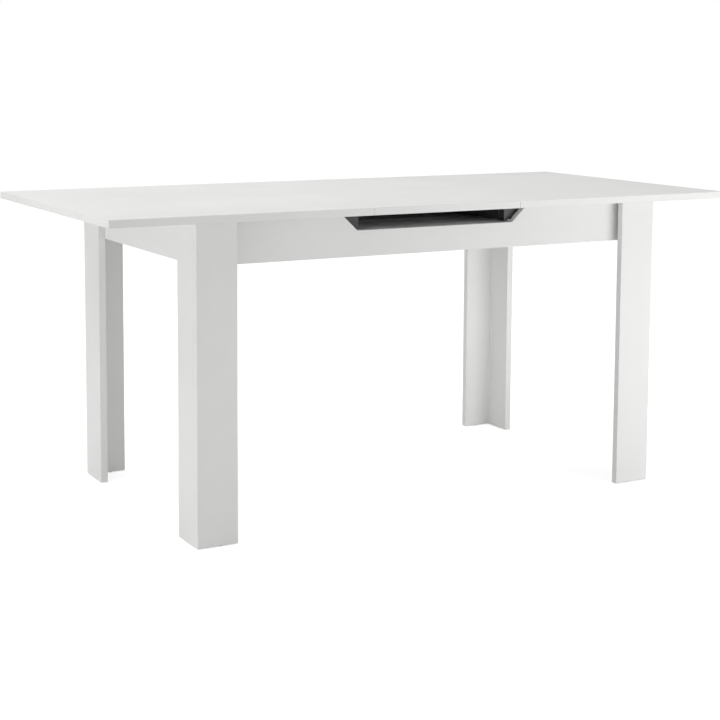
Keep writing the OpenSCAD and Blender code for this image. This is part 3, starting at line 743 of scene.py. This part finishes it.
# the glides fill the gap between the floor and the legs
def makeGlides(tree):
    feet = islands("floor_glides")
    places = [Vector((*middle(foot)[:2], 0.0)) for foot in feet]
    radius = max(abs(point.x - places[0].x) for point in feet[0])
    height = min(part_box("leg_front_left_face")[0].z, glideLook["tallest"])
    mesh = growPiece("floor-glides-turned", tree, places, {},
        {"Radius": radius, "Height": height, "Sides": glideLook["sides"], "Finish": finishes["nylon"]})
    finishPiece(mesh, mesh.name, "frame", "floor_glides")


def makeHardware():
    screwField = buildScrewField()
    rides = {"frame_screws": "frame", "runner_screws": "frame", "flip_screws_fixed": "frame",
             "flip_screws_moving": "leaf_rear", "left_carriage_screws": "left_top",
             "right_carriage_screws": "right_top"}
    for node, body in rides.items():
        makeScrews(node, body, screwField)
    makeGlides(buildGlideField())
    print("hardware done:", len(rides), "sets of screws and the glides")


# CAD nodes that keep their shape get a finish only
def paintNodes():
    nodesByFinish = {
        "zinc": ["flip_hinge_fixed", "flip_hinge_moving", "flip_hinge_pins", "fold_links", "catch_left",
                 "catch_right", "catch_pivot_left", "catch_pivot_right", "cam_locks", "cam_bolts"],
        # runner: painted shade, near-black runners for the deep shade inside the frame
        "runner": ["front_left_runner", "front_right_runner", "rear_left_runner", "rear_right_runner"],
        "black": ["left_carriages", "right_carriages", "fold_barrels_rear", "fold_barrels_front"],
        "nylon": ["left_shoes", "right_shoes", "frame_pads"],
        "beech": ["corner_blocks", "dowels"],
        "felt": ["tray_pads"],
        "edge": ["cam_caps"],
    }
    for finish, nodes in nodesByFinish.items():
        for node in nodes:
            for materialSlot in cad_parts[node].material_slots:
                materialSlot.material = finishes[finish]
    print("painted:", sum(len(nodes) for nodes in nodesByFinish.values()), "CAD nodes")


makeBoards()
makeHardware()
paintNodes()

cameraLook = {
    "place": (-2.0024, -3.5636, 1.1070), "yaw": -29.0622, "pitch": -6.0063, "roll": 0.3386,
    "lens": 78.749, "sensor": 36.0, "shift": (0.0, -0.1903),
}


# degrees: yaw turns left from straight ahead (+Y), pitch tips up, roll lifts the camera's right side
def makeCamera(look):
    yaw, pitch, roll = (math.radians(look[key]) for key in ("yaw", "pitch", "roll"))
    ahead = Vector((-math.sin(yaw) * math.cos(pitch), math.cos(yaw) * math.cos(pitch), math.sin(pitch)))
    right = Vector((math.cos(yaw), math.sin(yaw), 0.0))
    up = right.cross(ahead)
    tiltedRight = right * math.cos(roll) + up * math.sin(roll)
    tiltedUp = up * math.cos(roll) - right * math.sin(roll)
    data = bpy.data.cameras.new("tableCamera")
    data.lens = look["lens"]
    data.sensor_width = look["sensor"]
    data.shift_x, data.shift_y = look["shift"]
    camera = bpy.data.objects.new("tableCamera", data)
    camera.matrix_world = Matrix((tiltedRight, tiltedUp, -ahead)).transposed().to_4x4()
    camera.location = look["place"]
    bpy.context.scene.collection.objects.link(camera)
    bpy.context.scene.camera = camera


studio = {
    "floor": (0.75, 0.75, 0.75), "floorSize": 80.0, "floorRough": 0.9, "floorGloss": 0.1,
    "floorGlow": 0.64, "world": 0.54,
    "lamps": {
        "overheadLamp": {"place": (-1.2, 0.4, 4.2), "aim": (0.0, 0.0, 0.7), "size": (3.0, 3.0),
            "spread": 180.0, "power": 81.0},
        "leftLamp": {"place": (-3.2, -0.5, 0.36), "aim": (0.0, 0.0, 0.36), "size": (2.0, 0.66),
            "spread": 180.0, "power": 20.6},
        "rightLamp": {"place": (1.35, -1.75, 0.38), "aim": (0.75, -0.35, 0.45), "size": (1.2, 0.68),
            "spread": 180.0, "power": 12.0},
        "rearLegLamp": {"place": (0.44, -0.27, 0.33), "aim": (0.57, 0.35, 0.35), "size": (0.12, 0.60),
            "spread": 60.0, "power": 0.15},
    },
}


# light that only the camera sees, so that paper reads white without lighting the table
def addCameraGlow(tree, surface, strength):
    path = addNode(tree, "ShaderNodeLightPath", (0, -2))
    glow = addNode(tree, "ShaderNodeEmission", (0, -3))
    glow.inputs["Color"].default_value = (1.0, 1.0, 1.0, 1.0)
    level = addNode(tree, "ShaderNodeMath", (0, -1), operation="MULTIPLY")
    level.inputs[1].default_value = strength
    tree.links.new(path.outputs["Is Camera Ray"], level.inputs[0])
    tree.links.new(level.outputs["Value"], glow.inputs["Strength"])
    both = addNode(tree, "ShaderNodeAddShader", (2, -3))
    tree.links.new(surface, both.inputs[0])
    tree.links.new(glow.outputs["Emission"], both.inputs[1])
    return both.outputs["Shader"]


def makeFloor(look):
    half = look["floorSize"] / 2
    data = bpy.data.meshes.new("studioFloor")
    data.from_pydata([(-half, -half, 0), (half, -half, 0), (half, half, 0), (-half, half, 0)], [],
                     [(0, 1, 2, 3)])
    material, tree, shader = startMaterial("studioPaper")
    shader.inputs["Base Color"].default_value = (*look["floor"], 1.0)
    shader.inputs["Roughness"].default_value = look["floorRough"]
    shader.inputs["Specular IOR Level"].default_value = look["floorGloss"]
    glowing = addCameraGlow(tree, shader.outputs["BSDF"], look["floorGlow"])
    tree.links.new(glowing, tree.nodes["Material Output"].inputs["Surface"])
    data.materials.append(material)
    floor = bpy.data.objects.new("studioFloor", data)
    bpy.context.scene.collection.objects.link(floor)


def makeLight(name, look):
    data = bpy.data.lights.new(name, "AREA")
    data.energy = look["power"]
    data.shape = "RECTANGLE"
    data.size, data.size_y = look["size"]
    data.spread = math.radians(look["spread"])
    lamp = bpy.data.objects.new(name, data)
    lamp.location = look["place"]
    lamp.rotation_euler = (Vector(look["aim"]) - lamp.location).to_track_quat("-Z", "Y").to_euler()
    lamp.visible_camera = False
    bpy.context.scene.collection.objects.link(lamp)


# the world lights the table at the given strength, and the camera sees it as plain white
def makeWorld(strength):
    world = bpy.data.worlds.new("studioWorld")
    world.use_nodes = True
    background = world.node_tree.nodes["Background"]
    background.inputs["Color"].default_value = (1.0, 1.0, 1.0, 1.0)
    path = addNode(world.node_tree, "ShaderNodeLightPath", (-3, 0))
    level = addNode(world.node_tree, "ShaderNodeMapRange", (-2, 0))
    setInputs(level, To_Min=strength, To_Max=1.0)
    world.node_tree.links.new(path.outputs["Is Camera Ray"], level.inputs["Value"])
    world.node_tree.links.new(level.outputs["Result"], background.inputs["Strength"])
    bpy.context.scene.world = world


makeCamera(cameraLook)
makeFloor(studio)
makeWorld(studio["world"])
for lampName, lampLook in studio["lamps"].items():
    makeLight(lampName, lampLook)
bpy.context.scene.view_settings.view_transform = "Standard"
print("studio done:", len(studio["lamps"]), "lamps")
